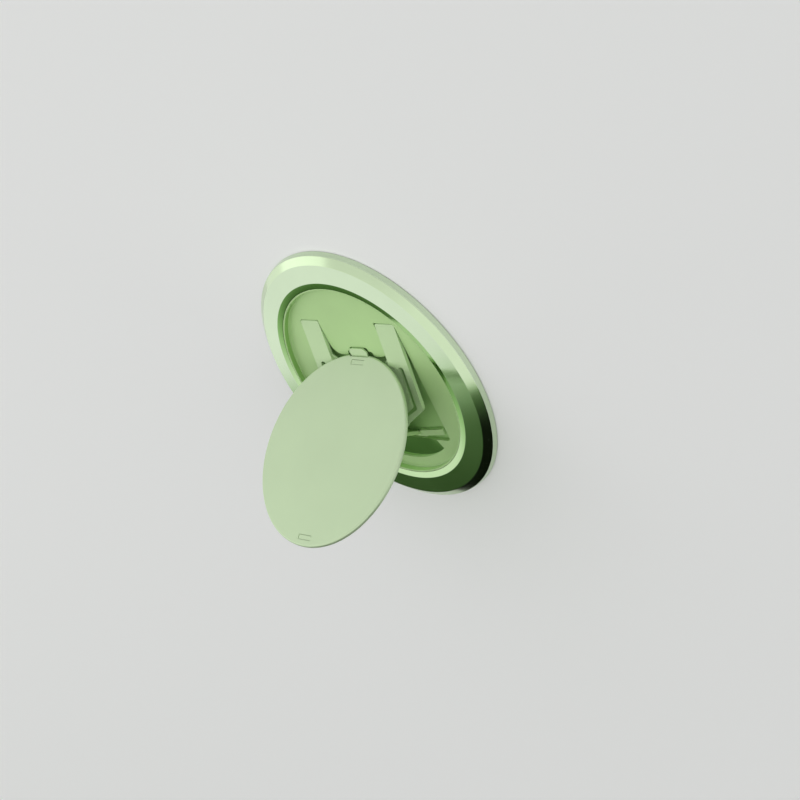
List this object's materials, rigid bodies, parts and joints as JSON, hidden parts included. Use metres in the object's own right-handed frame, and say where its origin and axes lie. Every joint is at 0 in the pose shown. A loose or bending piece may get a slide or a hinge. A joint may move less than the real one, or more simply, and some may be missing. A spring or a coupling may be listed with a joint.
{
  "type": "phone grip",
  "caption": "Round magnetic phone grip: a low base ring around a flat tray, and a disc that folds out on a link and leans on a sprung latch frame.",
  "frame": {"origin": "centre of the base's underside", "axes": "+Z out of the base, +Y from the link's hinge towards the latch frame's hinge, +X along the hinges"},
  "size_m": [0.058, 0.058, 0.033],
  "materials": {
    "ring": "satin",
    "tray": "satin",
    "cover": "matte",
    "pad": "matte",
    "shield": "satin",
    "magnet": "satin",
    "frame": "satin",
    "rail": "satin",
    "link": "satin",
    "pin": "polished",
    "disc": "satin",
    "disc_back": "satin"
  },
  "bodies": {
    "base": {"bezel_ring": "ring", "tray": "tray", "back_cover": "cover", "friction_pad": "pad", "shield_ring": "shield", "magnet_01": "magnet", "magnet_02": "magnet", "magnet_03": "magnet", "magnet_04": "magnet", "magnet_05": "magnet", "magnet_06": "magnet", "magnet_07": "magnet", "magnet_08": "magnet", "magnet_09": "magnet", "magnet_10": "magnet", "magnet_11": "magnet", "magnet_12": "magnet", "magnet_13": "magnet", "magnet_14": "magnet", "magnet_15": "magnet", "magnet_16": "magnet", "magnet_17": "magnet", "magnet_18": "magnet", "frame_pin_left": "pin", "frame_pin_right": "pin", "hinge_rail": "rail", "link_pin": "pin"},
    "link": {"support_link": "link"},
    "disc": {"disc_cover": "disc", "disc_back": "disc_back", "disc_pin": "pin"},
    "frame": {"latch_frame": "frame"}
  },
  "joints": [
    {"name": "link_fold", "type": "hinge", "parent": "base", "child": "link", "pos_m": [0, -0.01295, 0.00065], "axis": [-1, 0, 0], "range_deg": [0, 58.49]},
    {"name": "disc_fold", "type": "hinge", "parent": "link", "child": "disc", "pos_m": [0, -0.00478, 0.01398], "axis": [1, 0, 0], "range_deg": [0, 114.1]},
    {"name": "frame_press", "type": "hinge", "parent": "base", "child": "frame", "pos_m": [0, 0.013, 0.00065], "axis": [1, 0, 0], "range_deg": [0, 8.2]}
  ],
  "couplings": [
    {"joint": "disc_fold", "follows": "link_fold", "ratio": 1.9504},
    {"joint": "frame_press", "follows": "link_fold", "ratio": 0.14018}
  ]
}
